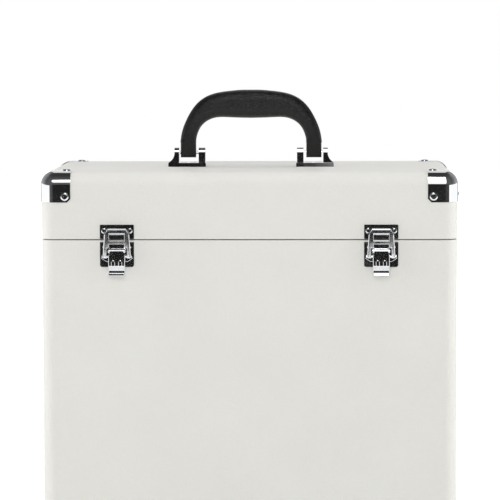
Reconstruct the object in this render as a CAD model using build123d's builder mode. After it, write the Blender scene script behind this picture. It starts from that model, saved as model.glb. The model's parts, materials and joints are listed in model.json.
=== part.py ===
"""A record carrying case: a covered wooden box, a hinged lid, two draw latches and a folding handle.

Millimetres. X is the width, Y the depth with the front at -Y, and Z is up from the floor.
"Out" is measured outwards from a case wall, and "up" is measured upwards from the parting line.
"""

import os
from math import cos, radians, sin

from build123d import *

# Case
case_width = 360.0
case_depth = 190.0
body_height = 290.0
lid_height = 58.2
edge_radius = 11.0
rim_radius = 0.6
cover_thickness = 0.8
board_thickness = 10.0
lining_thickness = 1.0
parting_gap = 0.8

# Tongue strip that stands proud of the body's rim and guides the lid
tongue_thickness = 3.0
tongue_rise = 4.0
tongue_drop = 24.0
tongue_side_gap = 0.6
tongue_end_gap = 8.0
tongue_chamfer = 0.8

# Corner protectors
corner_thickness = 0.6
corner_leg = 25.9
corner_chamfer = 3.0
corner_seat_gap = 0.05
corner_rivet_from_side = 21.0
corner_rivet_from_end = 21.0

# Fasteners
rivet_head_radius = 3.5
rivet_head_height = 1.2
rivet_dimple_radius = 1.2
rivet_dimple_depth = 0.3
crown_share = 0.62
rivet_shank_radius = 1.25
nail_length = 8.0
bracket_head_radius = 3.0
small_head_radius = 2.35
small_head_height = 1.0
clinch_height = 0.8
screw_head_radius = 2.4
screw_head_height = 1.1
screw_shank_radius = 1.2
screw_length = 8.0
hole_gap = 0.05
recess_width = 0.6
recess_share = 0.62
recess_depth = 0.6

# Feet
foot_height = 6.0
foot_radius = 9.0
foot_taper = 1.0
foot_chamfer = 1.0
foot_inset = 42.0
foot_web = 3.0
foot_screw_head_radius = 3.5
foot_screw_head_height = 1.8
foot_screw_shank_radius = 1.75
foot_screw_grip = 7.0
foot_recess_gap = 0.7

# Hinges
hinge_inset = 75.0
hinge_width = 40.0
hinge_leaf_height = 18.0
hinge_leaf_thickness = 1.2
hinge_leaf_start = 3.2
hinge_leaf_corner = 3.0
hinge_axis_out = 3.2
hinge_knuckle_radius = 2.8
hinge_knuckles = 5
hinge_knuckle_gap = 0.3
hinge_pin_radius = 1.3
hinge_pin_head_radius = 2.2
hinge_pin_head_height = 0.8
hinge_screws = 3
hinge_screw_margin = 6.0
hinge_screw_from_edge = 5.0
running_gap = 0.08

# Latches
latch_inset = 66.0
latch_plate_width = 29.4
latch_plate_thickness = 0.9
latch_corner = 2.0
catch_corner = 0.8
catch_low = 0.7
catch_height = 12.4
catch_rivet_offset = 11.2
catch_rivet_up = 7.8
catch_lip_width = 15.0
catch_lip_root = 4.6
catch_lip_top = 8.6
catch_lip_out = 2.4
sheet_thickness = 0.8
sheet_bend = 0.9
base_top = 2.0
base_height = 21.5
base_rivets = ((3.6, -20.2), (9.9, -6.0))
emboss_height = 0.5
emboss_chamfer = 0.45
emboss_half_width = 13.9
emboss_top = -3.2
emboss_shoulder = -16.0
emboss_bottom = -19.0
emboss_bottom_half = 9.2
ear_gap = 6.1
ear_thickness = 1.0
ear_radius = 1.7
ear_foot = 5.6
lever_pin_out = 5.2
lever_pin_up = -9.5
lever_pin_radius = 0.9
lever_knuckle_radius = 1.8
lever_bow_up = -22.4
lever_waist_out = 4.9
lever_waist_up = -26.0
lever_waist_end = -28.6
lever_tip_out = 5.9
lever_tip_up = -30.4
lever_neck_half = 5.8
lever_half = 7.2
lever_wide_up = -15.8
lever_tip_corner = 1.6
lever_tip_trim = 0.2
lever_thickness = 1.1
lever_edge_radius = 0.8
lever_rib_offset = 3.1
lever_rib_radius = 1.2
lever_rib_height = 0.5
lever_rib_top = -17.6
lever_rib_end = -27.6
lever_bend = 1.6
lever_reach = 14.0
flange_thickness = 0.9
flange_length = 4.0
claw_pin_out = 3.2
claw_pin_up = -14.5
claw_pin_radius = 0.8
claw_pin_knuckle = 1.5
claw_pin_end_gap = 0.3
latch_pin_head_radius = 1.3
latch_pin_head_height = 0.4
claw_top_up = 9.9
claw_top_out = 4.9
claw_hook_out = 3.2
claw_back_out = 2.3
claw_top_half = 8.9
claw_neck_up = 7.6
claw_shoulder_half = 10.9
claw_shoulder_up = 5.2
claw_bottom_half = 12.3
claw_window_half = 6.6
claw_window_low = -0.4
claw_window_high = 5.5
claw_bar_low = -3.6
claw_arm_inner = 8.8
claw_arm_start = -6.4
claw_corner = 1.4
claw_edge_radius = 1.2
claw_window_radius = 0.5
claw_lug_radius = 1.4

# Handle
handle_pivot_rise = 12.4
handle_pin_radius = 1.5
bracket_inner = 40.4
bracket_outer = 74.0
bracket_depth = 20.0
bracket_base = 3.5
bracket_draft = 0.18
bracket_sink = 1.3
tower_inner_start = 41.2
tower_inner_end = 47.0
tower_outer_start = 64.7
tower_outer_end = 68.7
tower_radius = 4.6
tower_foot_half = 4.8
tower_flare_rise = 11.6
tower_flare_sag = 1.2
pin_recess = 0.4
bracket_rivets = (51.6, 60.4)
leg_width = 13.6
leg_depth = 9.0
leg_top_depth = 13.2
leg_corner = 3.0
leg_centre = 56.3
grip_start = 21.5
leg_overlap = 3.0
core_thickness = 2.5
core_width = 6.0
core_end_drop = 1.0
core_shoulder_rise = 33.0
core_top_half = 36.0
core_top_rise = 55.0
core_bend = 12.0

# Stations of the grip from its foot to its crown: distance from the middle, rise over the lid,
# lean of the section in degrees, width in the plane of the bow, and depth front to back.
grip_stations = (
    (56.4, 21.5, 0.0, 14.4, 13.8),
    (55.2, 29.5, 8.0, 14.0, 15.0),
    (51.7, 38.2, 24.0, 14.4, 16.6),
    (47.1, 45.0, 42.0, 16.3, 18.2),
    (39.9, 51.2, 60.0, 19.5, 19.4),
    (28.9, 55.0, 79.0, 22.1, 20.2),
    (14.4, 55.9, 87.5, 24.4, 20.6),
)
grip_crown = (0.0, 56.0, 90.0, 25.2, 20.8)
grip_roundness = 0.44

# Derived levels and faces
front_y = -case_depth / 2
back_y = case_depth / 2
body_low = foot_height
parting_z = body_low + body_height
lid_top = parting_z + lid_height
body_rim = parting_z - parting_gap / 2
lid_rim = parting_z + parting_gap / 2
wall = cover_thickness + board_thickness
lined_wall = wall + lining_thickness
tongue_wall = lined_wall + tongue_thickness
mouth_width = case_width - 2 * wall
mouth_depth = case_depth - 2 * wall
cavity_width = case_width - 2 * lined_wall
cavity_depth = case_depth - 2 * lined_wall
hinge_offset = case_width / 2 - hinge_inset
latch_offset = case_width / 2 - latch_inset
sides = {"left": -1, "right": 1}
ends = {"front": -1, "back": 1}
BOTTOM, TOP = 0, -1

os.makedirs("parts", exist_ok=True)


def finish(builder, name):
    """Labels a finished piece and writes it."""
    builder.part.label = name
    export_step(builder.part, f"parts/{name}.step")


# ---- Planes on the case's walls ----


def front_plane(x, up=0.0, out=0.0):
    """A plane on the front wall, facing out, with its origin at a height over the parting line."""
    return Plane(origin=(x, front_y - out, parting_z + up), x_dir=(1, 0, 0), z_dir=(0, -1, 0))


def front_profile(x):
    """A plane across the front wall whose X is out and whose Y is up."""
    return Plane(origin=(x, front_y, parting_z), x_dir=(0, -1, 0), z_dir=(-1, 0, 0))


def back_plane(x, up=0.0, out=0.0):
    """A plane on the back wall, facing out, with its origin at a height over the parting line."""
    return Plane(origin=(x, back_y + out, parting_z + up), x_dir=(-1, 0, 0), z_dir=(0, 1, 0))


def back_profile(x):
    """A plane across the back wall whose X is out and whose Y is up."""
    return Plane(origin=(x, back_y, parting_z), x_dir=(0, 1, 0), z_dir=(1, 0, 0))


def lid_plane(x, y=0.0, out=0.0):
    """A plane on top of the lid, facing up."""
    return Plane(origin=(x, y, lid_top + out), x_dir=(1, 0, 0), z_dir=(0, 0, 1))


def corner_seats(end):
    """The seats of the three rivets in each of the four corner protectors at one end of the case."""
    out = corner_seat_gap + corner_thickness
    level = lid_top if end == TOP else body_low
    inwards = -1 if end == TOP else 1
    rivet_z = level + inwards * corner_rivet_from_end
    seats = []
    for side_x in sides.values():
        for side_y in ends.values():
            face_x = side_x * (case_width / 2 + out)
            face_y = side_y * (case_depth / 2 + out)
            inset_x = side_x * (case_width / 2 - corner_rivet_from_side)
            inset_y = side_y * (case_depth / 2 - corner_rivet_from_side)
            flat_y = side_y * (case_depth / 2 - corner_rivet_from_end)
            seats.append(Plane(origin=(inset_x, face_y, rivet_z), x_dir=(1, 0, 0), z_dir=(0, side_y, 0)))
            seats.append(Plane(origin=(face_x, inset_y, rivet_z), x_dir=(0, 1, 0), z_dir=(side_x, 0, 0)))
            face_z = level - inwards * out
            seats.append(Plane(origin=(inset_x, flat_y, face_z), x_dir=(1, 0, 0), z_dir=(0, 0, -inwards)))
    return seats


def hinge_seats(direction):
    """The seats of the screws in both hinges, on the leaf above (1) or below (-1) the pin."""
    pitch = (hinge_width - 2 * hinge_screw_margin) / (hinge_screws - 1)
    up = direction * (hinge_leaf_start + hinge_leaf_height - hinge_screw_from_edge)
    seats = []
    for side in sides.values():
        for index in range(hinge_screws):
            x = side * hinge_offset - hinge_width / 2 + hinge_screw_margin + index * pitch
            seats.append(back_plane(x, up, hinge_leaf_thickness))
    return seats


def catch_seats():
    """The seats of the rivets in both catches."""
    return [
        front_plane(side * latch_offset + offset, catch_rivet_up, latch_plate_thickness)
        for side in sides.values()
        for offset in (-catch_rivet_offset, catch_rivet_offset)
    ]


def base_seats():
    """The seats of the rivets in both latch bases, on the raised part or on the plate."""
    seats = []
    for side in sides.values():
        for offset, up in base_rivets:
            raised = emboss_height if up > emboss_bottom else 0.0
            for mirrored in (-offset, offset):
                out = latch_plate_thickness + raised
                seats.append(front_plane(side * latch_offset + mirrored, up, out))
    return seats


def bracket_seats():
    """The seats of the rivets in both handle brackets, sunk into their bases."""
    seat_up = bracket_base - bracket_sink
    return [lid_plane(side * x, 0.0, seat_up) for side in sides.values() for x in bracket_rivets]


def foot_points():
    """The feet's places under the case."""
    points = {}
    for end, side_y in ends.items():
        for side, side_x in sides.items():
            x = side_x * (case_width / 2 - foot_inset)
            y = side_y * (case_depth / 2 - foot_inset)
            points[f"{end}_{side}"] = (x, y)
    return points


def foot_seats():
    """The seats of the screw heads inside the feet, facing down."""
    level = body_low - foot_web
    points = foot_points().values()
    return [Plane(origin=(x, y, level), x_dir=(1, 0, 0), z_dir=(0, 0, -1)) for x, y in points]


# ---- Operations shared by the pieces ----


def drill(seats, radius, depth):
    """Bores a hole of the given depth inwards from each seat."""
    with BuildSketch(*seats) as mouths:
        Circle(radius)
    extrude(mouths.sketch, amount=-depth, mode=Mode.SUBTRACT)


def spot_face(seats, radius, height):
    """Clears a round place above each seat for a fastener's head."""
    with BuildSketch(*seats) as places:
        Circle(radius)
    extrude(places.sketch, amount=height, mode=Mode.SUBTRACT)


def seat_profile(seat):
    """The plane through a seat's axis, with Y pointing out of the seat."""
    return Plane(origin=seat.origin, x_dir=seat.x_dir, z_dir=-seat.y_dir)


def turned_fastener(seat, head, shank_radius, shank_length, clinch_height=0.0, dimple=(0.0, 0.0)):
    """A head with a level crown and a rounded shoulder, and a clinched far head where asked for."""
    head_radius, head_height = head
    dimple_radius, dimple_depth = dimple
    crown_radius = head_radius * crown_share
    far = -shank_length
    stem = [(head_radius, 0), (shank_radius, 0), (shank_radius, far)]
    if clinch_height:
        stem += [(head_radius, far), (head_radius, far - clinch_height), (0, far - clinch_height)]
    else:
        stem += [(0, far)]
    crown = [(dimple_radius, head_height), (crown_radius, head_height)]
    if dimple_radius:
        rim_radius = dimple_radius - dimple_depth
        crown = [(0, head_height - dimple_depth), (rim_radius, head_height - dimple_depth)] + crown
    with BuildSketch(seat_profile(seat)) as half:
        with BuildLine():
            Polyline(*crown)
            TangentArc((crown_radius, head_height), (head_radius, 0), tangent=(1, 0))
            Polyline(*stem, crown[0])
        make_face()
    revolve(half.sketch, axis=Axis(seat.origin, seat.z_dir))


def cross_recess(seat, head_radius, head_height):
    """A cross cut into a screw's head."""
    length = 2 * head_radius * recess_share
    top = Plane(origin=seat.origin + seat.z_dir * head_height, x_dir=seat.x_dir, z_dir=seat.z_dir)
    with BuildSketch(top) as cross:
        Rectangle(length, recess_width)
        Rectangle(recess_width, length)
    extrude(cross.sketch, amount=-recess_depth, mode=Mode.SUBTRACT)


def block(inset, low, high, rounded_end, rim=0.0):
    """The case's outline, inset from its outer faces, with its upright edges and one end rounded."""
    with BuildPart() as outline:
        with BuildSketch(Plane.XY.offset(low)):
            Rectangle(case_width - 2 * inset, case_depth - 2 * inset)
        extrude(amount=high - low)
        upright = outline.edges().filter_by(Axis.Z)
        outer_end = outline.edges().group_by(Axis.Z)[rounded_end]
        fillet(upright + outer_end, edge_radius - inset)
        if rim:
            open_end = BOTTOM if rounded_end == TOP else TOP
            fillet(outline.edges().group_by(Axis.Z)[open_end], rim)
    return outline.part


# ---- Wooden boards, covering and lining ----


def board(name, wood, centre, size, low, high, holes):
    """One board: the wood of the case trimmed to the board's own rectangle, with its holes."""
    with BuildPart() as piece:
        add(wood)
        with BuildSketch(Plane.XY.offset(low)):
            with Locations(centre):
                Rectangle(*size)
        extrude(amount=high - low, mode=Mode.INTERSECT)
        for seats, radius, depth in holes:
            drill(seats, radius, depth)
    finish(piece, name)


def boards(prefix, low, high, end, end_name, holes):
    """Front and back boards across the full width, sides between them, the end board inside all four."""
    wood = block(cover_thickness, low, high, end)
    middle = cover_thickness + board_thickness / 2
    wood_width = case_width - 2 * cover_thickness
    for end_label, side_y in ends.items():
        centre = (0, side_y * (case_depth / 2 - middle))
        board(f"{prefix}_board_{end_label}", wood, centre, (wood_width, board_thickness), low, high, holes)
    for side_label, side_x in sides.items():
        centre = (side_x * (case_width / 2 - middle), 0)
        size = (board_thickness, mouth_depth)
        board(f"{prefix}_board_{side_label}", wood, centre, size, low, high, holes)
    flat_low = high - board_thickness if end == TOP else low
    flat = (mouth_width, mouth_depth)
    board(f"{prefix}_board_{end_name}", wood, (0, 0), flat, flat_low, flat_low + board_thickness, holes)


def covering(name, low, high, end, holes):
    """The leatherette skin: all round the outside, over the closed end and over the rim."""
    outside = block(0.0, low, high, end, rim_radius)
    wood_low = low + cover_thickness
    wood_high = high - cover_thickness
    wood = block(cover_thickness, wood_low, wood_high, end)
    rim_level, into = (high, -cover_thickness) if end == BOTTOM else (low, cover_thickness)
    with BuildPart() as skin:
        add(outside)
        add(wood, mode=Mode.SUBTRACT)
        with BuildSketch(Plane.XY.offset(rim_level)):
            Rectangle(mouth_width, mouth_depth)
        extrude(amount=into, mode=Mode.SUBTRACT)
        for seats, radius, depth in holes:
            drill(seats, radius, depth)
    finish(skin, name)


def lining(name, floor, rim, end, holes):
    """The thin lining of the walls and the closed end."""
    depth = rim - floor
    wall_in = lining_thickness if end == BOTTOM else -lining_thickness
    with BuildPart() as liner:
        with BuildSketch(Plane.XY.offset(floor)):
            Rectangle(mouth_width, mouth_depth)
        extrude(amount=depth)
        with BuildSketch(Plane.XY.offset(floor + wall_in)):
            Rectangle(cavity_width, cavity_depth)
        extrude(amount=depth - wall_in, mode=Mode.SUBTRACT)
        for seats, radius, hole_depth in holes:
            drill(seats, radius, hole_depth)
    finish(liner, name)


def tongue_outline(level, outer_gap, high):
    """One layer of the tongue strip: front and two sides, open at the back."""
    width = cavity_width - 2 * outer_gap
    depth = cavity_depth - outer_gap - tongue_end_gap
    centre_y = (outer_gap - tongue_end_gap) / 2
    inner_width = cavity_width - 2 * tongue_thickness
    inner_depth = case_depth
    inner_y = -cavity_depth / 2 + tongue_thickness + inner_depth / 2
    with BuildSketch(Plane.XY.offset(level)) as layer:
        with Locations((0, centre_y)):
            Rectangle(width, depth)
        with Locations((0, inner_y)):
            Rectangle(inner_width, inner_depth, mode=Mode.SUBTRACT)
    extrude(layer.sketch, amount=high - level)


def rim_tongue():
    """The strip glued inside the body's mouth, stepped clear of the lid above the rim."""
    with BuildPart() as tongue:
        tongue_outline(body_rim - tongue_drop, 0.0, body_rim)
        tongue_outline(body_rim, tongue_side_gap, body_rim + tongue_rise)
        chamfer(tongue.edges().group_by(Axis.Z)[-1], tongue_chamfer)
        depth = latch_plate_thickness + emboss_height + tongue_wall
        drill(base_seats(), rivet_shank_radius + hole_gap, depth)
    finish(tongue, "rim_tongue")


def corner_protectors(prefix, end, seats):
    """Pressed metal corners: three flaps round each rounded corner, with clipped flap tips."""
    outer_inset = -(corner_seat_gap + corner_thickness)
    low, high = (lid_rim, lid_top) if end == TOP else (body_low, body_rim)
    reach = -outer_inset
    outer_low, outer_high = (low, high + reach) if end == TOP else (low - reach, high)
    inner_low, inner_high = (low, high + corner_seat_gap) if end == TOP else (low - corner_seat_gap, high)
    outer = block(outer_inset, outer_low, outer_high, end)
    inner = block(-corner_seat_gap, inner_low, inner_high, end)
    leg_low = lid_top - corner_leg if end == TOP else outer_low
    leg_length = corner_leg + reach
    for end_label, side_y in ends.items():
        for side_label, side_x in sides.items():
            centre = (
                side_x * (case_width / 2 + reach - leg_length / 2),
                side_y * (case_depth / 2 + reach - leg_length / 2),
            )
            with BuildPart() as cap:
                add(outer)
                add(inner, mode=Mode.SUBTRACT)
                with BuildSketch(Plane.XY.offset(leg_low)):
                    with Locations(centre):
                        Rectangle(leg_length, leg_length)
                extrude(amount=leg_length, mode=Mode.INTERSECT)
                tips = cap.edges().filter_by(is_flap_tip)
                chamfer(tips, corner_chamfer)
                drill(seats, rivet_shank_radius + hole_gap, corner_thickness)
            finish(cap, f"{prefix}_corner_{end_label}_{side_label}")


def is_flap_tip(edge):
    """True for the short edges through the sheet at the flaps' free corners."""
    return abs(edge.length - corner_thickness) < corner_seat_gap / 10


# ---- Pins and bent sheet ----


def rod(plane, centre, radius, half_length, head_radius=0.0, head_height=0.0):
    """A pin square to the plane, through the centre given, with a flat head on each end if asked for."""
    with BuildSketch(plane) as section:
        with Locations(centre):
            Circle(radius)
    extrude(section.sketch, amount=half_length, both=True)
    if head_radius:
        for direction in (-1, 1):
            with BuildSketch(plane.offset(direction * half_length)) as head:
                with Locations(centre):
                    Circle(head_radius)
            extrude(head.sketch, amount=direction * head_height)


def bore(plane, centre, radius, half_length):
    """A hole square to the plane, through the centre given."""
    with BuildSketch(plane) as section:
        with Locations(centre):
            Circle(radius)
    extrude(section.sketch, amount=half_length, both=True, mode=Mode.SUBTRACT)


def bent_strip(plane, points, bend, thickness, width):
    """Sheet bent along a centre line drawn in the plane, reaching equally to both sides of the plane."""
    with BuildSketch(plane) as section:
        with BuildLine():
            FilletPolyline(*points, radius=bend)
            offset(amount=thickness / 2, side=Side.BOTH)
        make_face()
    extrude(section.sketch, amount=width / 2, both=True)


def mirrored(points):
    """A closed outline from the points of its right half, listed from the top down."""
    left = [(-x, y) for x, y in reversed(points)]
    return [*points, *left]


# ---- Hinges ----


def hinge_leaf(side, direction, name):
    """One leaf of a butt hinge: the lower leaf has the outer knuckles and the upper leaf those between."""
    x = sides[side] * hinge_offset
    pitch = hinge_width / hinge_knuckles
    pin_centre = (hinge_axis_out, 0)
    first = 0 if direction < 0 else 1
    with BuildPart() as leaf:
        with BuildSketch(back_plane(x)) as plate:
            with Locations((0, direction * (hinge_leaf_start + hinge_leaf_height / 2))):
                Rectangle(hinge_width, hinge_leaf_height)
            far_end = -1 if direction > 0 else 0
            fillet(plate.vertices().group_by(Axis.Y)[far_end], hinge_leaf_corner)
        extrude(amount=hinge_leaf_thickness)
        for index in range(first, hinge_knuckles, 2):
            middle = x - hinge_width / 2 + (index + 0.5) * pitch
            with BuildSketch(back_profile(middle)):
                with Locations(pin_centre):
                    Circle(hinge_knuckle_radius)
                with Locations((hinge_axis_out / 2, direction * hinge_leaf_start / 2)):
                    Rectangle(hinge_axis_out, hinge_leaf_start)
            extrude(amount=(pitch - hinge_knuckle_gap) / 2, both=True)
        bore(back_profile(x), pin_centre, hinge_pin_radius + running_gap, hinge_width)
        drill(hinge_seats(direction), screw_shank_radius + hole_gap, hinge_leaf_thickness)
    finish(leaf, name)


def hinge_pin(side, name):
    """The pin through both leaves' knuckles."""
    with BuildPart() as pin:
        plane = back_profile(sides[side] * hinge_offset)
        centre = (hinge_axis_out, 0)
        head = (hinge_pin_head_radius, hinge_pin_head_height)
        rod(plane, centre, hinge_pin_radius, hinge_width / 2, *head)
    finish(pin, name)


# ---- Latches ----


def latch_catch(x, name):
    """The catch on the lid: a plate with an upturned lip for the claw's hook."""
    lip = (
        (latch_plate_thickness / 2, catch_lip_root),
        (catch_lip_out, catch_lip_root),
        (catch_lip_out, catch_lip_top),
    )
    with BuildPart() as catch:
        with BuildSketch(front_plane(x)):
            with Locations((0, catch_low + catch_height / 2)):
                RectangleRounded(latch_plate_width, catch_height, catch_corner)
        extrude(amount=latch_plate_thickness)
        bent_strip(front_profile(x), lip, sheet_bend, sheet_thickness, catch_lip_width)
        drill(catch_seats(), rivet_shank_radius + hole_gap, latch_plate_thickness)
    finish(catch, name)


def latch_base(x, name):
    """The base on the body: a plate, a raised panel with a V-shaped foot, two ears for the lever's pin."""
    panel = mirrored(
        (
            (emboss_half_width, emboss_top),
            (emboss_half_width, emboss_shoulder),
            (emboss_bottom_half, emboss_bottom),
        )
    )
    with BuildPart() as base:
        with BuildSketch(front_plane(x)) as plate:
            with Locations((0, -base_top - base_height / 2)):
                Rectangle(latch_plate_width, base_height)
            fillet(plate.vertices().group_by(Axis.Y)[0], latch_corner)
        extrude(amount=latch_plate_thickness)
        with BuildSketch(front_plane(x, 0.0, latch_plate_thickness)):
            Polygon(*panel, align=None)
        extrude(amount=emboss_height)
        chamfer(base.faces().sort_by(Axis.Y)[0].edges().sort_by(Axis.Z)[:3], emboss_chamfer)
        spot_face(base_seats(), small_head_radius + hole_gap, emboss_height)
        for direction in (-1, 1):
            with BuildSketch(front_profile(x + direction * (ear_gap + ear_thickness / 2))):
                with Locations((lever_pin_out, lever_pin_up)):
                    Circle(ear_radius)
                with Locations((latch_plate_thickness, lever_pin_up)):
                    Rectangle(latch_plate_thickness, ear_foot)
                make_hull()
            extrude(amount=ear_thickness / 2, both=True)
        centre = (lever_pin_out, lever_pin_up)
        bore(front_profile(x), centre, lever_pin_radius + hole_gap, latch_plate_width / 2)
        drill(base_seats(), rivet_shank_radius + hole_gap, latch_plate_thickness + emboss_height)
    finish(base, name)


def lever_line():
    """The lever's centre line: flat from its knuckle, stepping in to a waist and flaring out to its tip."""
    flat_out = lever_pin_out + lever_knuckle_radius - sheet_thickness / 2
    return (
        (flat_out, lever_pin_up),
        (flat_out, lever_bow_up),
        (lever_waist_out, lever_waist_up),
        (lever_waist_out, lever_waist_end),
        (lever_tip_out, lever_tip_up),
    )


def lever_ribs(x):
    """Two raised ribs that stiffen the lever's lower half."""
    length = lever_rib_top - lever_rib_end
    middle = (lever_rib_top + lever_rib_end) / 2
    height = lever_thickness + 2 * lever_rib_height
    with BuildPart() as ribs:
        bent_strip(front_profile(x), lever_line(), lever_bend, height, latch_plate_width)
        with BuildSketch(front_plane(x)):
            with Locations((-lever_rib_offset, middle), (lever_rib_offset, middle)):
                SlotOverall(length, 2 * lever_rib_radius, rotation=90)
        extrude(amount=lever_reach, mode=Mode.INTERSECT)
    return ribs.part


def lever_flanges(x):
    """The lever's two side flanges, with their round ends about the claw's pin."""
    root_out = lever_line()[0][0] - sheet_thickness / 4
    for direction in (-1, 1):
        with BuildSketch(front_profile(x + direction * (lever_half - flange_thickness / 2))) as flange:
            with Locations((claw_pin_out, claw_pin_up)):
                Circle(claw_pin_knuckle)
            with Locations((root_out, lever_wide_up - flange_length / 2)):
                Rectangle(sheet_thickness / 2, flange_length)
            make_hull()
        extrude(flange.sketch, amount=flange_thickness / 2, both=True)


def lever_pan(x):
    """The lever's sheet, swept down its centre line with rounded front edges."""
    line = lever_line()
    top = Plane(origin=(x, front_y - line[0][0], parting_z + line[0][1]), x_dir=(1, 0, 0), z_dir=(0, 0, -1))
    with BuildPart() as pan:
        with BuildLine(front_profile(x)) as path:
            FilletPolyline(*line, radius=lever_bend)
        with BuildSketch(top) as section:
            Rectangle(2 * lever_half, lever_thickness)
            fillet(section.vertices().group_by(Axis.Y)[-1], lever_edge_radius)
        sweep(section.sketch, path=path.wires()[0])
    return pan.part


def latch_lever(x, name):
    """The lever: a plate on a knuckle, with rounded edges and two flanges that carry the claw's pin."""
    outline = mirrored(
        (
            (lever_neck_half, lever_pin_up + lever_knuckle_radius),
            (lever_neck_half, lever_pin_up - lever_knuckle_radius),
            (lever_half, lever_wide_up),
            (lever_half, lever_tip_up - lever_tip_trim),
        )
    )
    centre = (lever_pin_out, lever_pin_up)
    claw_centre = (claw_pin_out, claw_pin_up)
    with BuildPart() as lever:
        add(lever_pan(x))
        with BuildSketch(front_plane(x)) as plan:
            Polygon(*outline, align=None)
            fillet(plan.vertices().group_by(Axis.Y)[0], lever_tip_corner)
        extrude(amount=lever_reach, mode=Mode.INTERSECT)
        add(lever_ribs(x))
        rod(front_profile(x), centre, lever_knuckle_radius, lever_neck_half)
        lever_flanges(x)
        bore(front_profile(x), centre, lever_pin_radius + running_gap, latch_plate_width / 2)
        bore(front_profile(x), claw_centre, claw_pin_radius + hole_gap, latch_plate_width / 2)
    finish(lever, name)


def claw_plan(inset, low, high):
    """The claw's outline from the front: a narrow head, two shoulders and arms that widen to the pin."""
    return mirrored(
        (
            (claw_top_half - inset, high),
            (claw_top_half - inset, claw_neck_up),
            (claw_shoulder_half - inset, claw_shoulder_up),
            (claw_bottom_half - inset, low),
        )
    )


def claw_hollow(x):
    """The room inside the claw, open to the back and at the foot."""
    low = claw_pin_up - 2 * claw_pin_knuckle
    high = claw_top_up - sheet_thickness
    outline = (
        (claw_pin_out + claw_pin_knuckle - sheet_thickness, low),
        (claw_pin_out + claw_pin_knuckle - sheet_thickness, claw_pin_up),
        (claw_top_out - sheet_thickness / 2, high),
        (0, high),
        (0, low),
    )
    plan = claw_plan(sheet_thickness, low, high)
    with BuildPart() as hollow:
        with BuildSketch(front_profile(x)):
            Polygon(*outline, align=None)
        extrude(amount=latch_plate_width, both=True)
        with BuildSketch(front_plane(x)):
            Polygon(*plan, align=None)
        extrude(amount=lever_reach, mode=Mode.INTERSECT)
    return hollow.part


def claw_lugs(x):
    """Round a lug about the claw's pin at the foot of each arm."""
    width = claw_bottom_half - claw_edge_radius / 2 - claw_arm_inner
    for direction in (-1, 1):
        with BuildSketch(front_profile(x + direction * (claw_arm_inner + width / 2))) as lug:
            with Locations((claw_pin_out, claw_pin_up)):
                Circle(claw_lug_radius)
        extrude(lug.sketch, amount=width / 2, both=True)


def window_rims(front_face, x):
    """The edges of the claw's windows on its front face."""
    half = claw_arm_inner + sheet_thickness / 2
    low = parting_z + claw_pin_up
    high = parting_z + claw_window_high + sheet_thickness
    inside = front_face.edges().filter_by(lambda edge: abs(edge.center().X - x) < half)
    return inside.filter_by_position(Axis.Z, low, high, inclusive=(False, False))


def latch_claw(x, name):
    """The claw: a tapered channel with two windows, a hook wall along its top and two arms to its pin."""
    bottom_out = claw_pin_out + claw_pin_knuckle
    top_out = claw_top_out + sheet_thickness / 2
    low = claw_pin_up - claw_pin_knuckle
    outline = (
        (bottom_out, claw_pin_up),
        (top_out, claw_top_up),
        (claw_hook_out, claw_top_up),
        (claw_back_out, claw_pin_up),
    )
    plan = claw_plan(0.0, low, claw_top_up)
    windows = (
        (claw_window_half, claw_window_low, claw_window_high),
        (claw_window_half, low, claw_bar_low),
        (claw_arm_inner, low, claw_arm_start),
    )
    with BuildPart() as claw:
        with BuildSketch(front_profile(x)):
            Polygon(*outline, align=None)
        extrude(amount=latch_plate_width, both=True)
        with BuildSketch(front_plane(x)) as front:
            Polygon(*plan, align=None)
            fillet(front.vertices().sort_by(Axis.Y)[2:], claw_corner)
        extrude(amount=lever_reach, mode=Mode.INTERSECT)
        fillet(claw.faces().sort_by(Axis.Y)[0].edges().sort_by(Axis.Z)[1:], claw_edge_radius)
        with BuildSketch(front_plane(x)):
            for half, bottom, top in windows:
                with Locations((0, (bottom + top) / 2)):
                    Rectangle(2 * half, top - bottom)
        extrude(amount=lever_reach, mode=Mode.SUBTRACT)
        fillet(window_rims(claw.faces().sort_by(Axis.Y)[0], x), claw_window_radius)
        add(claw_hollow(x), mode=Mode.SUBTRACT)
        claw_lugs(x)
        centre = (claw_pin_out, claw_pin_up)
        bore(front_profile(x), centre, claw_pin_radius + running_gap, latch_plate_width)
    finish(claw, name)


def latch_pins(x, side):
    """The lever's pin in the ears and the claw's pin in the lever's flanges."""
    with BuildPart() as lever_pin:
        centre = (lever_pin_out, lever_pin_up)
        half = ear_gap + ear_thickness
        rod(front_profile(x), centre, lever_pin_radius, half, latch_pin_head_radius, latch_pin_head_height)
    finish(lever_pin, f"latch_lever_pin_{side}")
    with BuildPart() as claw_pin:
        centre = (claw_pin_out, claw_pin_up)
        half = claw_bottom_half + claw_pin_end_gap
        rod(front_profile(x), centre, claw_pin_radius, half, latch_pin_head_radius, latch_pin_head_height)
    finish(claw_pin, f"latch_claw_pin_{side}")


# ---- Handle ----


def handle_elevation():
    """The plane seen from the front, with its origin in the middle of the lid's top."""
    return Plane(origin=(0, 0, lid_top), x_dir=(1, 0, 0), z_dir=(0, -1, 0))


def handle_profile(x=0.0):
    """The plane seen from the right, with its origin on the lid's top."""
    return Plane(origin=(x, 0, lid_top), x_dir=(0, 1, 0), z_dir=(1, 0, 0))


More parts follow.
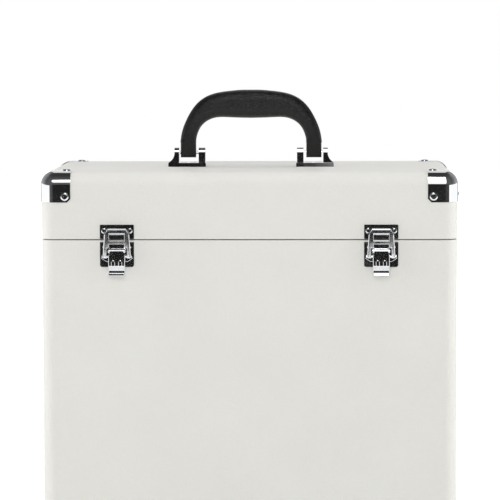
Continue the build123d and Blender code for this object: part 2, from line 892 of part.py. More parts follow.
def handle_bracket(side):
    """A base with two towers that hold the handle's pin, the outer tower flared down to the base."""
    direction = sides[side]
    tower_top = handle_pivot_rise + tower_radius
    chord_x = bracket_outer - tower_outer_end
    chord_up = tower_flare_rise - bracket_base
    chord = (chord_x**2 + chord_up**2) ** 0.5
    flare_x = (bracket_outer + tower_outer_end) / 2 - tower_flare_sag * chord_up / chord
    flare_up = (bracket_base + tower_flare_rise) / 2 - tower_flare_sag * chord_x / chord
    rest = (
        (tower_outer_end, tower_flare_rise),
        (tower_outer_end, tower_top),
        (tower_outer_start, tower_top),
        (tower_outer_start, bracket_base),
        (tower_inner_end, bracket_base),
        (tower_inner_end, tower_top),
        (tower_inner_start, tower_top),
        (tower_inner_start, bracket_base),
        (bracket_inner, bracket_base),
        (bracket_inner, 0),
        (bracket_outer, 0),
        (bracket_outer, bracket_base),
    )
    with BuildPart() as bracket:
        with BuildSketch(handle_elevation()):
            with BuildLine():
                Polyline(*[(direction * x, up) for x, up in rest])
                ThreePointArc(
                    (direction * bracket_outer, bracket_base),
                    (direction * flare_x, flare_up),
                    (direction * tower_outer_end, tower_flare_rise),
                )
            make_face()
        extrude(amount=bracket_depth / 2, both=True)
        with BuildSketch(handle_profile()):
            with Locations((0, handle_pivot_rise)):
                Circle(tower_radius)
            with Locations((0, bracket_base / 2)):
                Rectangle(2 * tower_foot_half, bracket_base)
            make_hull()
            half = bracket_depth / 2
            Polygon(*mirrored(((half - bracket_draft, bracket_base), (half, 0))), align=None)
        extrude(amount=bracket_outer, both=True, mode=Mode.INTERSECT)
        bore(handle_profile(), (0, handle_pivot_rise), handle_pin_radius + hole_gap, bracket_outer)
        spot_face(bracket_seats(), bracket_head_radius + hole_gap, bracket_sink)
        drill(bracket_seats(), rivet_shank_radius + hole_gap, bracket_base)
    finish(bracket, f"handle_bracket_{side}")


def core_strip(gap):
    """The steel strap's solid, or with a gap the room that it needs in the grip."""
    points = (
        (-leg_centre, handle_pivot_rise - core_end_drop),
        (-leg_centre, core_shoulder_rise),
        (-core_top_half, core_top_rise),
        (core_top_half, core_top_rise),
        (leg_centre, core_shoulder_rise),
        (leg_centre, handle_pivot_rise - core_end_drop),
    )
    with BuildPart() as strap:
        bent_strip(handle_elevation(), points, core_bend, core_thickness + 2 * gap, core_width + 2 * gap)
        bore(handle_profile(), (0, handle_pivot_rise), handle_pin_radius + running_gap, bracket_outer)
    return strap


def grip_section(x, rise, lean, width, depth):
    """One rounded section across the bow, square to its centre line."""
    tilt = radians(lean)
    across = (cos(tilt), 0, -sin(tilt))
    along = (sin(tilt), 0, cos(tilt))
    with BuildSketch(Plane(origin=(x, 0, lid_top + rise), x_dir=across, z_dir=along)) as section:
        RectangleRounded(width, depth, min(width, depth) * grip_roundness)
    return section.sketch


def handle_leg(middle):
    """One leg: round about its pin, widening front to back up to the grip, with rounded upright edges."""
    top = grip_start + leg_overlap
    with BuildPart() as leg:
        with BuildSketch(handle_profile(middle)):
            with Locations((0, handle_pivot_rise)):
                Circle(leg_depth / 2)
            with Locations((0, top - leg_overlap / 2)):
                Rectangle(leg_top_depth, leg_overlap)
            make_hull()
        extrude(amount=leg_width / 2, both=True)
        with BuildSketch(Plane.XY.offset(lid_top)):
            with Locations((middle, 0)):
                RectangleRounded(leg_width, leg_top_depth, leg_corner)
        extrude(amount=top, mode=Mode.INTERSECT)
    return leg.part


def handle_grip():
    """The moulded grip: a swelling bow on two flat legs with round ends about the pins."""
    left = [(-x, rise, lean, width, depth) for x, rise, lean, width, depth in grip_stations]
    right = [(x, rise, 180 - lean, width, depth) for x, rise, lean, width, depth in reversed(grip_stations)]
    core_room = core_strip(hole_gap).part
    with BuildPart() as grip:
        loft([grip_section(*station) for station in (*left, grip_crown, *right)])
        add([handle_leg(direction * leg_centre) for direction in sides.values()])
        add(core_room, mode=Mode.SUBTRACT)
        bore(handle_profile(), (0, handle_pivot_rise), handle_pin_radius + running_gap, bracket_outer)
    finish(grip, "handle_grip")


def handle_pin(side):
    """The pin through both towers of a bracket and the handle's leg."""
    middle = sides[side] * (tower_inner_start + tower_outer_end) / 2
    half = (tower_outer_end - tower_inner_start) / 2 - pin_recess
    with BuildPart() as pin:
        rod(handle_profile(middle), (0, handle_pivot_rise), handle_pin_radius, half)
    finish(pin, f"handle_pin_{side}")


# ---- Feet and groups of fasteners ----


def foot(label, x, y):
    """A rubber foot with a recess for its screw's head."""
    recess = foot_height - foot_web
    low_radius = foot_radius - foot_taper
    with BuildPart() as pad:
        with BuildSketch(Plane(origin=(x, y, 0), x_dir=(1, 0, 0), z_dir=(0, -1, 0))):
            Polygon(
                (0, 0),
                (low_radius - foot_chamfer, 0),
                (low_radius, foot_chamfer),
                (foot_radius, foot_height),
                (0, foot_height),
                align=None,
            )
        revolve(axis=Axis((x, y, 0), (0, 0, 1)))
        with BuildSketch(Plane(origin=(x, y, 0))):
            Circle(foot_screw_head_radius + foot_recess_gap)
        extrude(amount=recess, mode=Mode.SUBTRACT)
        with BuildSketch(Plane(origin=(x, y, 0))):
            Circle(foot_screw_shank_radius + hole_gap)
        extrude(amount=foot_height, mode=Mode.SUBTRACT)
    finish(pad, f"foot_{label}")


def rivets(name, seats, head, shank_length, clinch_height=0.0):
    """A group of like rivets, one on each seat."""
    dimple = (rivet_dimple_radius * head[0] / rivet_head_radius, rivet_dimple_depth)
    with BuildPart() as group:
        for seat in seats:
            length = shank_length(seat) if callable(shank_length) else shank_length
            turned_fastener(seat, head, rivet_shank_radius, length, clinch_height, dimple)
    finish(group, name)


def screws(name, seats, head, shank_radius, shank_length):
    """A group of like screws with crossed heads, one on each seat."""
    with BuildPart() as group:
        for seat in seats:
            turned_fastener(seat, head, shank_radius, shank_length)
            cross_recess(seat, *head)
    finish(group, name)


def base_rivet_length(seat):
    """From a seat on a latch base through the wall, its lining and the tongue strip."""
    return front_y - seat.origin.Y + tongue_wall


# ---- The case ----

rivet_bore = rivet_shank_radius + hole_gap
bracket_grip = bracket_base - bracket_sink + lined_wall
screw_bore = screw_shank_radius + hole_gap
body_holes = (
    (corner_seats(BOTTOM), rivet_bore, nail_length),
    (hinge_seats(-1), screw_bore, screw_length),
    (base_seats(), rivet_bore, latch_plate_thickness + emboss_height + tongue_wall),
    (foot_seats(), foot_screw_shank_radius + hole_gap, foot_web + foot_screw_grip),
)
lid_holes = (
    (corner_seats(TOP), rivet_bore, nail_length),
    (hinge_seats(1), screw_bore, screw_length),
    (catch_seats(), rivet_bore, latch_plate_thickness + lined_wall),
    (bracket_seats(), rivet_bore, bracket_grip),
)

boards("body", body_low + cover_thickness, body_rim - cover_thickness, BOTTOM, "bottom", body_holes)
covering("body_cover", body_low, body_rim, BOTTOM, body_holes)
lining("body_lining", body_low + wall, body_rim, BOTTOM, body_holes)
rim_tongue()

boards("lid", lid_rim + cover_thickness, lid_top - cover_thickness, TOP, "top", lid_holes)
covering("lid_cover", lid_rim, lid_top, TOP, lid_holes)
lining("lid_lining", lid_top - wall, lid_rim, TOP, lid_holes)

corner_protectors("body", BOTTOM, corner_seats(BOTTOM))
corner_protectors("lid", TOP, corner_seats(TOP))
corner_head = (rivet_head_radius, rivet_head_height)
rivets("body_corner_rivets", corner_seats(BOTTOM), corner_head, nail_length)
rivets("lid_corner_rivets", corner_seats(TOP), corner_head, nail_length)

for side in sides:
    hinge_leaf(side, -1, f"hinge_lower_leaf_{side}")
    hinge_leaf(side, 1, f"hinge_upper_leaf_{side}")
    hinge_pin(side, f"hinge_pin_{side}")
screw_head = (screw_head_radius, screw_head_height)
screws("hinge_screws_body", hinge_seats(-1), screw_head, screw_shank_radius, screw_length)
screws("hinge_screws_lid", hinge_seats(1), screw_head, screw_shank_radius, screw_length)

for side, direction in sides.items():
    latch_x = direction * latch_offset
    latch_catch(latch_x, f"latch_catch_{side}")
    latch_base(latch_x, f"latch_base_{side}")
    latch_lever(latch_x, f"latch_lever_{side}")
    latch_claw(latch_x, f"latch_claw_{side}")
    latch_pins(latch_x, side)
small_head = (small_head_radius, small_head_height)
catch_grip = latch_plate_thickness + lined_wall
rivets("latch_rivets_lid", catch_seats(), small_head, catch_grip, clinch_height)
rivets("latch_rivets_body", base_seats(), small_head, base_rivet_length, clinch_height)

for side in sides:
    handle_bracket(side)
    handle_pin(side)
handle_grip()
finish(core_strip(0.0), "handle_core")
bracket_head = (bracket_head_radius, rivet_head_height)
rivets("handle_rivets", bracket_seats(), bracket_head, bracket_grip, clinch_height)

for label, place in foot_points().items():
    foot(label, *place)
foot_head = (foot_screw_head_radius, foot_screw_head_height)
foot_grip = foot_web + foot_screw_grip
screws("foot_screws", foot_seats(), foot_head, foot_screw_shank_radius, foot_grip)
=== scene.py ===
"""Dresses the record carrying case in leatherette, chrome and plastic, and builds the studio round it."""

import json
from math import cos, pi, radians, sin, sqrt

import bmesh
import bpy
from mathutils import Matrix, Vector


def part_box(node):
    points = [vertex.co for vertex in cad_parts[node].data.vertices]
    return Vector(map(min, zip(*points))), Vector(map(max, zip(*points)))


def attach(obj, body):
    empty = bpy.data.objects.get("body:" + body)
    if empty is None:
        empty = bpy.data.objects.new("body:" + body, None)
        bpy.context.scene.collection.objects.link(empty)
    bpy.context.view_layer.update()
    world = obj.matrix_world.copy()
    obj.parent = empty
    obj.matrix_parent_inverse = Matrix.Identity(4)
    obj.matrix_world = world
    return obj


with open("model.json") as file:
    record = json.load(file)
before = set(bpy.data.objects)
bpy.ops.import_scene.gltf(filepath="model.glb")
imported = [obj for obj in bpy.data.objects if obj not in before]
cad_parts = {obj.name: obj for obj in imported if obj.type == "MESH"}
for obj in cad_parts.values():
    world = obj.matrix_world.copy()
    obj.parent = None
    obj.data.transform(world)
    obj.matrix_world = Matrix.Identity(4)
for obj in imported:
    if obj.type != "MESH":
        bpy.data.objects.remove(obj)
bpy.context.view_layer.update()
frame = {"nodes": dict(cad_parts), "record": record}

MM = 0.001
IMAGE_SIDE = 500
SENSOR = 36.0
FOCAL_PIXELS = 2487.0

lid_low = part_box("lid_cover")[0]
body_low, body_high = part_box("body_cover")
front_y = body_low[1]
parting_z = (lid_low[2] + body_high[2]) / 2


# ---- Nodes of materials ----


def new_material(name):
    """A material with its Principled shader."""
    material = bpy.data.materials.new(name)
    material.use_nodes = True
    shader = material.node_tree.nodes["Principled BSDF"]
    return material, material.node_tree, shader


def linear(channel):
    """One sRGB channel, 0 to 255, as the linear value that a shader takes."""
    value = channel / 255
    return value / 12.92 if value <= 0.04045 else ((value + 0.055) / 1.055) ** 2.4


def colour(red, green, blue):
    """An sRGB colour as a shader's linear colour."""
    return (linear(red), linear(green), linear(blue), 1.0)


def place(tree):
    """The object's own coordinates, in metres."""
    return tree.nodes.new("ShaderNodeTexCoord").outputs["Object"]


def noise(tree, vector, scale, detail=4.0, roughness=0.5):
    """A noise pattern's value."""
    node = tree.nodes.new("ShaderNodeTexNoise")
    node.inputs["Scale"].default_value = scale
    node.inputs["Detail"].default_value = detail
    node.inputs["Roughness"].default_value = roughness
    tree.links.new(vector, node.inputs["Vector"])
    return node.outputs["Fac"]


def voronoi(tree, vector, scale, feature="DISTANCE_TO_EDGE"):
    """A cell pattern's distance."""
    node = tree.nodes.new("ShaderNodeTexVoronoi")
    node.feature = feature
    node.inputs["Scale"].default_value = scale
    tree.links.new(vector, node.inputs["Vector"])
    return node.outputs["Distance"]


def ramp(tree, value, stops):
    """A value mapped through colour stops of (position, colour)."""
    node = tree.nodes.new("ShaderNodeValToRGB")
    node.color_ramp.elements[0].position, node.color_ramp.elements[0].color = stops[0]
    node.color_ramp.elements[1].position, node.color_ramp.elements[1].color = stops[-1]
    for position, shade in stops[1:-1]:
        node.color_ramp.elements.new(position).color = shade
    tree.links.new(value, node.inputs["Fac"])
    return node.outputs["Color"]


def to_range(tree, value, low, high, from_low=0.0, from_high=1.0):
    """A value mapped linearly from one range to another."""
    node = tree.nodes.new("ShaderNodeMapRange")
    node.inputs["From Min"].default_value = from_low
    node.inputs["From Max"].default_value = from_high
    node.inputs["To Min"].default_value = low
    node.inputs["To Max"].default_value = high
    tree.links.new(value, node.inputs["Value"])
    return node.outputs["Result"]


def bump(tree, height, distance, strength=1.0, normal=None):
    """A bump of the given depth in metres."""
    node = tree.nodes.new("ShaderNodeBump")
    node.inputs["Distance"].default_value = distance
    node.inputs["Strength"].default_value = strength
    tree.links.new(height, node.inputs["Height"])
    if normal:
        tree.links.new(normal, node.inputs["Normal"])
    return node.outputs["Normal"]


# ---- Materials ----


# How far the pebbles pull the leatherette along its colour ramp, darker towards their cell edges: painted
# shade in the grain's creases
PEBBLE_SHADE = -0.45


def leatherette():
    """Pale grey leathercloth with a fine low pebble grain, painted shade in the grain's creases and the
    slightest mottling.
    """
    material, tree, shader = new_material("leatherette")
    where = place(tree)
    mottle = noise(tree, where, scale=14.0, detail=3.0)
    pebble = voronoi(tree, where, scale=850.0, feature="SMOOTH_F1")
    # Painted shade: the pebble cells darken the colour towards their edges, the creases of the grain
    crease_shade = tree.nodes.new("ShaderNodeMath")
    crease_shade.operation = "MULTIPLY_ADD"
    crease_shade.inputs[1].default_value = PEBBLE_SHADE
    tree.links.new(pebble, crease_shade.inputs[0])
    tree.links.new(mottle, crease_shade.inputs[2])
    tones = [(0.0, colour(221, 220, 215)), (0.3, colour(223, 222, 217)), (0.6, colour(225, 224, 220))]
    shade = ramp(tree, crease_shade.outputs["Value"], tones)
    tree.links.new(shade, shader.inputs["Base Color"])
    fine = noise(tree, where, scale=420.0, detail=5.0, roughness=0.6)
    rough = to_range(tree, fine, low=0.42, high=0.56, from_low=0.3, from_high=0.7)
    tree.links.new(rough, shader.inputs["Roughness"])
    shader.inputs["Specular IOR Level"].default_value = 0.25
    grain = bump(tree, pebble, distance=0.0003, strength=0.9)
    surface = bump(tree, fine, distance=0.00016, strength=0.5, normal=grain)
    tree.links.new(surface, shader.inputs["Normal"])
    return material


def chrome():
    """Bright plating with a faint ripple from pressing and a trace of handling haze."""
    material, tree, shader = new_material("chrome")
    where = place(tree)
    haze = noise(tree, where, scale=60.0, detail=4.0)
    rough = to_range(tree, haze, low=0.04, high=0.09, from_low=0.3, from_high=0.7)
    tree.links.new(rough, shader.inputs["Roughness"])
    tint = ramp(tree, haze, [(0.3, colour(222, 224, 226)), (0.7, colour(232, 233, 234))])
    tree.links.new(tint, shader.inputs["Base Color"])
    shader.inputs["Metallic"].default_value = 1.0
    ripple = noise(tree, where, scale=110.0, detail=2.0)
    tree.links.new(bump(tree, ripple, distance=0.00006, strength=0.35), shader.inputs["Normal"])
    return material


def steel(name, tone, roughness):
    """Plain or zinc-plated steel with fine drawn marks."""
    material, tree, shader = new_material(name)
    where = place(tree)
    marks = noise(tree, where, scale=700.0, detail=6.0, roughness=0.7)
    rough = to_range(tree, marks, low=roughness - 0.06, high=roughness + 0.08)
    tree.links.new(rough, shader.inputs["Roughness"])
    darker = colour(tone - 10, tone - 10, tone - 8)
    tint = ramp(tree, marks, [(0.3, darker), (0.7, colour(tone, tone, tone))])
    tree.links.new(tint, shader.inputs["Base Color"])
    shader.inputs["Metallic"].default_value = 1.0
    tree.links.new(bump(tree, marks, distance=0.00003, strength=0.5), shader.inputs["Normal"])
    return material


def grip_plastic():
    """Black moulded plastic with a leather grain of creased cells."""
    material, tree, shader = new_material("grip_plastic")
    where = place(tree)
    warp = noise(tree, where, scale=180.0, detail=3.0)
    cells = voronoi(tree, where, scale=620.0)
    crease = to_range(tree, cells, low=0.0, high=1.0, from_low=0.0, from_high=0.22)
    shade = ramp(tree, warp, [(0.3, colour(7, 7, 8)), (0.7, colour(12, 12, 12))])
    tree.links.new(shade, shader.inputs["Base Color"])
    rough = to_range(tree, warp, low=0.28, high=0.38, from_low=0.3, from_high=0.7)
    tree.links.new(rough, shader.inputs["Roughness"])
    shader.inputs["Specular IOR Level"].default_value = 0.45
    grain = bump(tree, crease, distance=0.00018, strength=0.7)
    surface = bump(tree, warp, distance=0.0002, strength=0.3, normal=grain)
    tree.links.new(surface, shader.inputs["Normal"])
    return material


def plywood():
    """Raw plywood with long grain."""
    material, tree, shader = new_material("wood_board")
    mapping = tree.nodes.new("ShaderNodeMapping")
    mapping.inputs["Scale"].default_value = (1.0, 6.0, 12.0)
    tree.links.new(place(tree), mapping.inputs["Vector"])
    grain = noise(tree, mapping.outputs["Vector"], scale=22.0, detail=8.0, roughness=0.62)
    shade = ramp(tree, grain, [(0.35, colour(186, 152, 112)), (0.65, colour(214, 184, 142))])
    tree.links.new(shade, shader.inputs["Base Color"])
    shader.inputs["Roughness"].default_value = 0.7
    tree.links.new(bump(tree, grain, distance=0.0002, strength=0.4), shader.inputs["Normal"])
    return material


def lining_flock(name, dark, pale):
    """Black flocked paper with a soft speckle."""
    material, tree, shader = new_material(name)
    where = place(tree)
    flock = noise(tree, where, scale=1500.0, detail=6.0, roughness=0.7)
    shade = ramp(tree, flock, [(0.35, colour(dark, dark, dark)), (0.7, colour(pale, pale, pale + 1))])
    tree.links.new(shade, shader.inputs["Base Color"])
    shader.inputs["Roughness"].default_value = 0.92
    shader.inputs["Specular IOR Level"].default_value = 0.15
    shader.inputs["Sheen Weight"].default_value = 0.25
    tree.links.new(bump(tree, flock, distance=0.0002, strength=0.6), shader.inputs["Normal"])
    return material


def rubber():
    """Matt black rubber with a moulded bloom."""
    material, tree, shader = new_material("foot_rubber")
    where = place(tree)
    bloom = noise(tree, where, scale=240.0, detail=5.0)
    shade = ramp(tree, bloom, [(0.3, colour(26, 26, 27)), (0.75, colour(40, 40, 41))])
    tree.links.new(shade, shader.inputs["Base Color"])
    rough = to_range(tree, bloom, low=0.62, high=0.8)
    tree.links.new(rough, shader.inputs["Roughness"])
    tree.links.new(bump(tree, bloom, distance=0.0001, strength=0.5), shader.inputs["Normal"])
    return material


def dress_nodes():
    """Gives every CAD node the finish of its material slot."""
    finishes = {
        "leatherette": leatherette(),
        "chrome": chrome(),
        "hinge_steel": steel("hinge_steel", tone=226, roughness=0.16),
        "screw_steel": steel("screw_steel", tone=196, roughness=0.3),
        "core_steel": steel("core_steel", tone=170, roughness=0.4),
        "grip_plastic": grip_plastic(),
        "wood_board": plywood(),
        "tongue_board": lining_flock("tongue_board", dark=24, pale=34),
        "lining": lining_flock("lining", dark=22, pale=44),
        "foot_rubber": rubber(),
    }
    for part in frame["record"]["subparts"]:
        node = frame["nodes"][part["node"]]
        for slot in node.material_slots:
            slot.material = finishes[part["material_slot"]]
    return finishes


# ---- Pieces ----

# Points nearer than this, in metres, are one
WELD_DISTANCE = 1e-7
# The levers' ribs in millimetres, out from the case's front and up from the parting line
LEVER_FRONT = 0.55
LEVER_LINE = ((6.6, -17.0), (6.6, -22.4), (4.9, -26.0), (4.9, -27.2))
BEND_REACH = 1.0
BEAD_OFFSETS = (-3.1, 3.1)
BEAD_HALF_WIDTH = 1.65
BEAD_HEIGHT = 0.498
BEAD_ROOT = -0.4
# Their mesh: steps round a bend, rings along, points over the arc, and the least square of a tip's share
BEND_STEPS = 6
BEAD_RINGS = 36
BEAD_ARC_POINTS = 12
BEAD_TIP = 0.0006


def piece(name, vertices, faces, material, body):
    """A smooth-shaded mesh piece that rides on a body and takes a slot's finish."""
    mesh = bpy.data.meshes.new(name)
    mesh.from_pydata(vertices, [], faces)
    mesh.validate()
    work = bmesh.new()
    work.from_mesh(mesh)
    bmesh.ops.remove_doubles(work, verts=work.verts, dist=WELD_DISTANCE)
    bmesh.ops.recalc_face_normals(work, faces=work.faces)
    for face in work.faces:
        face.smooth = True
    work.to_mesh(mesh)
    work.free()
    made = bpy.data.objects.new(name, mesh)
    bpy.context.scene.collection.objects.link(made)
    mesh.materials.append(material)
    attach(made, body)
    return made


def tube_faces(rings, sides):
    """Faces between closed rings of points, with the first and last ring filled."""
    faces = []
    for ring in range(rings - 1):
        for side in range(sides):
            after = (side + 1) % sides
            start = ring * sides
            faces.append((start + side, start + after, start + sides + after, start + sides + side))
    faces.append(tuple(range(sides)))
    faces.append(tuple(reversed(range((rings - 1) * sides, rings * sides))))
    return faces


def along(points, distance):
    """The point and the tangent at a distance along a line of 2-D points."""
    for start, end in zip(points, points[1:]):
        run = end - start
        if distance <= run.length or end is points[-1]:
            return start + run.normalized() * distance, run.normalized()
        distance -= run.length


def bead_ring(half_width, height):
    """A bead's outline as (across, rise): an arc over the strip, then two points below the strip's face."""
    turns = [pi * index / (BEAD_ARC_POINTS - 1) for index in range(BEAD_ARC_POINTS)]
    arc = [(half_width * cos(turn), height * sin(turn)) for turn in turns]
    return arc + [(-half_width, BEAD_ROOT * MM), (half_width, BEAD_ROOT * MM)]


def pressed_bead(name, x, line, half_width, height, material, body):
    """A raised bead with round ends, pressed in a bent strip: line is its way, as (out, up) in metres."""
    total = sum((end - start).length for start, end in zip(line, line[1:]))
    vertices = []
    for ring in range(BEAD_RINGS):
        distance = total * 0.5 * (1 - cos(pi * ring / (BEAD_RINGS - 1)))
        reach = min(distance, total - distance, half_width)
        share = sqrt(max(1 - (1 - reach / half_width) ** 2, BEAD_TIP))
        centre, way = along(line, distance)
        outward = Vector((-way.y, way.x))
        if outward.x < 0:
            outward = -outward
        outline = bead_ring(half_width * share, height * share)
        for across, rise in outline:
            spot = centre + outward * rise
            vertices.append((x + across, front_y - spot.x, parting_z + spot.y))
    return piece(name, vertices, tube_faces(BEAD_RINGS, len(outline)), material, body)


def smooth_line(points):
    """A line of millimetre points in metres, with its inner corners cut round."""
    line = [Vector(point) for point in points]
    rounded = [line[0]]
    for before, corner, after in zip(line, line[1:], line[2:]):
        near = corner + (before - corner).normalized() * BEND_REACH
        far = corner + (after - corner).normalized() * BEND_REACH
        for step in range(BEND_STEPS + 1):
            share = step / BEND_STEPS
            rounded.append(near.lerp(corner, share).lerp(corner.lerp(far, share), share))
    rounded.append(line[-1])
    return [point * MM for point in rounded]


def lever_beads(material):
    """The two rounded ribs of each latch lever."""
    line = smooth_line([(out + LEVER_FRONT, up) for out, up in LEVER_LINE])
    for side in ("left", "right"):
        low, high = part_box(f"latch_lever_{side}")
        middle = (low[0] + high[0]) / 2
        for number, offset in enumerate(BEAD_OFFSETS):
            name = f"lever_bead_{side}_{number}"
            x = middle + offset * MM
            pressed_bead(name, x, line, BEAD_HALF_WIDTH * MM, BEAD_HEIGHT * MM, material, f"lever_{side}")


# ---- Studio ----

# Reflected cards: radii in metres about the studio's centre, angles in degrees, tones as emission strengths
STUDIO_CENTRE = Vector((0.0, 0.0, 0.3))
DOME_RADIUS = 2.0
WING_RADIUS = 1.9
CARD_RADIUS = 1.85
SOFT_BOX_RADIUS = 1.8
PATCH_STEPS = 12
BAND_STEP = 8.0
CARD_FOOT = -8.0


def emitter(name):
    """A material that gives off its mesh's own tone, for a card that reflections meet."""
    material = bpy.data.materials.new(name)
    material.use_nodes = True
    tree = material.node_tree
    tree.nodes.clear()
    tone = tree.nodes.new("ShaderNodeAttribute")
    tone.attribute_name = "tone"
    emission = tree.nodes.new("ShaderNodeEmission")
    tree.links.new(tone.outputs["Fac"], emission.inputs["Strength"])
    output = tree.nodes.new("ShaderNodeOutputMaterial")
    tree.links.new(emission.outputs["Emission"], output.inputs["Surface"])
    return material


def toward(azimuth, elevation, radius):
    """A point about the studio's centre, at degrees to the right of the front and above the level."""
    turn, rise = radians(azimuth), radians(elevation)
    direction = Vector((sin(turn) * cos(rise), -cos(turn) * cos(rise), sin(rise)))
    return STUDIO_CENTRE + radius * direction


def tone_at(tones, share):
    """The tone at a share of a card's height, between the (share, tone) pairs either side of it."""
    for (low, first), (high, last) in zip(tones, tones[1:]):
        if share <= high:
            return first + (last - first) * (share - low) / (high - low)
    return tones[-1][1]


def card(name, radius, columns, tones):
    """A curved staged card that only reflections see.

    Each column is (azimuth, low, high, strength), with the angles in degrees. The tones are
    (share of the height, tone) pairs from its foot to its top, multiplied by the column's strength.
    """
    points, values = [], []
    for azimuth, low, high, strength in columns:
        for step in range(PATCH_STEPS + 1):
            share = step / PATCH_STEPS
            points.append(toward(azimuth, low + (high - low) * share, radius))
            values.append(tone_at(tones, share) * strength)
    row = PATCH_STEPS + 1
    faces = []
    for column in range(len(columns) - 1):
        for step in range(PATCH_STEPS):
            start = column * row + step
            faces.append((start, start + row, start + row + 1, start + 1))
    mesh = bpy.data.meshes.new(name)
    mesh.from_pydata(points, [], faces)
    mesh.attributes.new("tone", "FLOAT", "POINT").data.foreach_set("value", values)
    sheet = bpy.data.objects.new(name, mesh)
    bpy.context.scene.collection.objects.link(sheet)
    mesh.materials.append(emitter(name))
    sheet.visible_camera = False
    sheet.visible_diffuse = False
    sheet.visible_shadow = False
    sheet.visible_transmission = False


def band(low, high, first, last):
    """Columns of one height between two azimuths."""
    count = round((last - first) / BAND_STEP)
    return [(first + (last - first) * index / count, low, high, 1.0) for index in range(count + 1)]


# Columns of (azimuth, low, high, strength)
SOFT_BOX = [
    (-25.0, 29.0, 31.0, 0.5),
    (-18.0, 22.0, 38.0, 0.8),
    (-8.0, 18.0, 42.0, 1.0),
    (-3.0, 10.0, 62.0, 1.0),
    (1.2, 9.0, 75.0, 1.0),
    (2.6, 4.0, 78.0, 1.0),
    (12.0, 4.0, 79.0, 1.0),
    (15.0, 6.0, 74.0, 1.0),
    (17.0, 14.0, 60.0, 0.8),
    (18.0, 26.0, 40.0, 0.5),
]
SOFT_BOX_TONES = [(0.0, 0.15), (0.04, 0.5), (0.10, 1.6), (0.5, 2.6), (0.9, 6.0), (1.0, 3.0)]
# Columns of (azimuth, high), and of (azimuth, strength)
PALE_SIDE = [(38, -1), (48, 0), (62, 1), (90, 2), (120, 4), (132, 4)]
PALE_TONE = 1.3
GREY_SIDE = [(62, 0.45), (78, 0.8), (92, 1.3), (110, 1.9), (150, 2.3)]
GREY_LOW, GREY_HIGH = 3.0, 54.0
GREY_TONES = [(0.0, 0.26), (0.4, 0.18), (1.0, 0.12)]
ROOM_LOW, ROOM_HIGH = -3.0, 89.9
ROOM_TONES = [(0.0, 0.13), (0.5, 0.11), (0.75, 0.06), (1.0, 0.03)]
BACK_LOW = 2.5
BACK_HIGH = 61.0
BEHIND_TONES = [(0.0, 0.35), (1.0, 0.5)]
BACK_TONES = [(0.0, 0.85), (1.0, 0.85)]
EVEN = [(0.0, 1.0), (1.0, 1.0)]
# Columns of (azimuth, high, tone)
DARK_FRONT = [
    (-40, 4, 0.13),
    (-32, 4, 0.12),
    (-24, 4, 0.10),
    (-16, 4, 0.06),
    (-11, 4, 0.02),
    (-8, 5, 0.012),
    (-6, 9, 0.012),
    (1, 9, 0.012),
    (3, 4, 0.012),
    (9, 4, 0.02),
    (12, 4, 0.04),
    (20, 4, 0.06),
    (40, 4, 0.07),
]


def reflections():
    """What the chrome shows: a dim room, a dark front, a soft box over the camera, sides and a pale back."""
    card("dim_room", DOME_RADIUS, band(ROOM_LOW, ROOM_HIGH, -180.0, 180.0), ROOM_TONES)
    dark = [(azimuth, CARD_FOOT, high, tone) for azimuth, high, tone in DARK_FRONT]
    card("dark_front", CARD_RADIUS, dark, EVEN)
    for side, direction in (("left", -1), ("right", 1)):
        pale = [(direction * azimuth, CARD_FOOT, high, PALE_TONE) for azimuth, high in PALE_SIDE]
        card(f"pale_{side}", CARD_RADIUS, pale, EVEN)
        grey = [(direction * azimuth, GREY_LOW, GREY_HIGH, strength) for azimuth, strength in GREY_SIDE]
        card(f"grey_{side}", WING_RADIUS, grey, GREY_TONES)
    card("grey_behind", CARD_RADIUS, band(CARD_FOOT, BACK_LOW, 132.0, 228.0), BEHIND_TONES)
    card("pale_back", CARD_RADIUS, band(BACK_LOW, BACK_HIGH, 160.0, 200.0), BACK_TONES)
    card("soft_box", SOFT_BOX_RADIUS, SOFT_BOX, SOFT_BOX_TONES)


FLOOR_HALF = 6.0
FLOOR_TONE = 0.9
FLOOR_GLOSSY = 0.35


def floor():
    """A pale floor that keeps the case's shadow near it and is white further off, as the background is."""
    mesh = bpy.data.meshes.new("floor")
    corners = [(-1, -1), (1, -1), (1, 1), (-1, 1)]
    mesh.from_pydata([(x * FLOOR_HALF, y * FLOOR_HALF, 0) for x, y in corners], [], [(0, 1, 2, 3)])
    plane = bpy.data.objects.new("floor", mesh)
    bpy.context.scene.collection.objects.link(plane)
    material, tree, shader = new_material("floor")
    shader.inputs["Base Color"].default_value = (FLOOR_TONE, FLOOR_TONE, FLOOR_TONE, 1.0)
    shader.inputs["Roughness"].default_value = 1.0
    shader.inputs["Specular IOR Level"].default_value = 0.0
    distance = tree.nodes.new("ShaderNodeVectorMath")
    distance.operation = "LENGTH"
    tree.links.new(place(tree), distance.inputs[0])
    reach = to_range(tree, distance.outputs["Value"], low=0.16, high=1.0, from_low=0.28, from_high=1.1)
    path = tree.nodes.new("ShaderNodeLightPath")
    seen = tree.nodes.new("ShaderNodeMath")
    seen.operation = "SUBTRACT"
    seen.inputs[0].default_value = 1.0
    tree.links.new(path.outputs["Is Diffuse Ray"], seen.inputs[1])
    dimmed = to_range(tree, path.outputs["Is Glossy Ray"], low=1.0, high=FLOOR_GLOSSY)
    glow = tree.nodes.new("ShaderNodeMath")
    glow.operation = "MULTIPLY"
    tree.links.new(reach, glow.inputs[0])
    tree.links.new(seen.outputs["Value"], glow.inputs[1])
    shown = tree.nodes.new("ShaderNodeMath")
    shown.operation = "MULTIPLY"
    tree.links.new(glow.outputs["Value"], shown.inputs[0])
    tree.links.new(dimmed, shown.inputs[1])
    shader.inputs["Emission Color"].default_value = (1.0, 1.0, 1.0, 1.0)
    tree.links.new(shown.outputs["Value"], shader.inputs["Emission Strength"])
    mesh.materials.append(material)


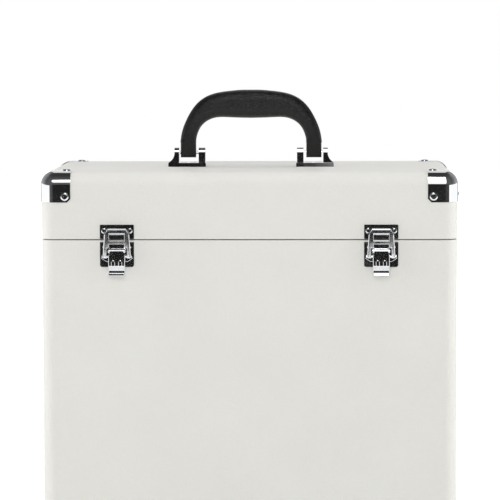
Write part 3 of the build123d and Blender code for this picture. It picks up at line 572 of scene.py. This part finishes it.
def world_light(strength):
    """Soft light from all round, and pure white for the camera and for reflections."""
    world = bpy.data.worlds.new("studio")
    bpy.context.scene.world = world
    world.use_nodes = True
    tree = world.node_tree
    tree.nodes.clear()
    path = tree.nodes.new("ShaderNodeLightPath")
    light = tree.nodes.new("ShaderNodeBackground")
    light.inputs["Color"].default_value = (1.0, 1.0, 1.0, 1.0)
    light.inputs["Strength"].default_value = strength
    backdrop = tree.nodes.new("ShaderNodeBackground")
    backdrop.inputs["Color"].default_value = (1.0, 1.0, 1.0, 1.0)
    backdrop.inputs["Strength"].default_value = 1.0
    mix = tree.nodes.new("ShaderNodeMixShader")
    tree.links.new(path.outputs["Is Diffuse Ray"], mix.inputs["Fac"])
    tree.links.new(backdrop.outputs["Background"], mix.inputs[1])
    tree.links.new(light.outputs["Background"], mix.inputs[2])
    output = tree.nodes.new("ShaderNodeOutputWorld")
    tree.links.new(mix.outputs["Shader"], output.inputs["Surface"])


WORLD_STRENGTH = 0.602
# Area lamps: (name, position, target, size, watts)
LAMPS = [
    ("key", (-0.1, -2.1, 1.85), (0.0, 0.0, 0.2), (0.9, 0.6), 12.5),
    ("overhead", (0.0, 0.6, 2.3), (0.0, 0.0, 0.35), (1.6, 1.2), 7.5),
    ("left", (-2.0, -0.3, 0.6), (0.0, 0.0, 0.25), (1.2, 1.8), 20.0),
    ("right", (2.0, -0.3, 0.6), (0.0, 0.0, 0.25), (1.2, 1.8), 20.0),
]


def area_lamp(name, position, target, size, watts):
    """An area lamp aimed at a point."""
    lamp = bpy.data.lights.new(name, "AREA")
    lamp.shape = "RECTANGLE"
    lamp.size, lamp.size_y = size
    lamp.energy = watts
    rig = bpy.data.objects.new(name, lamp)
    rig.location = position
    rig.rotation_euler = (Vector(target) - Vector(position)).to_track_quat("-Z", "Y").to_euler()
    rig.visible_glossy = False
    bpy.context.scene.collection.objects.link(rig)


# Degrees, and metres from the middle of the case, its front and the parting line
CAMERA_TURN = 1.30
CAMERA_TILT = 5.156
CAMERA_ROLL = -0.13
CAMERA_RIGHT = 0.0494
CAMERA_AWAY = 2.137
CAMERA_UP = 0.184
CAMERA_REACH = 50.0


def camera():
    """The photograph's view: far off, a little above the latches and turned slightly left."""
    data = bpy.data.cameras.new("camera")
    data.sensor_width = SENSOR
    data.lens = SENSOR * FOCAL_PIXELS / IMAGE_SIDE
    data.clip_end = CAMERA_REACH
    view = bpy.data.objects.new("camera", data)
    turn = Matrix.Rotation(radians(CAMERA_TURN), 3, "Z")
    tilt = Matrix.Rotation(radians(90 - CAMERA_TILT), 3, "X")
    roll = Matrix.Rotation(radians(CAMERA_ROLL), 3, "Z")
    view.location = (CAMERA_RIGHT, front_y - CAMERA_AWAY, parting_z + CAMERA_UP)
    view.rotation_euler = (turn @ tilt @ roll).to_euler()
    bpy.context.scene.collection.objects.link(view)
    bpy.context.scene.camera = view


def studio():
    """Floor, light, reflections and camera."""
    floor()
    world_light(WORLD_STRENGTH)
    reflections()
    for lamp in LAMPS:
        area_lamp(*lamp)
    camera()
    bpy.context.scene.view_settings.view_transform = "Standard"


finishes = dress_nodes()
lever_beads(finishes["chrome"])
studio()
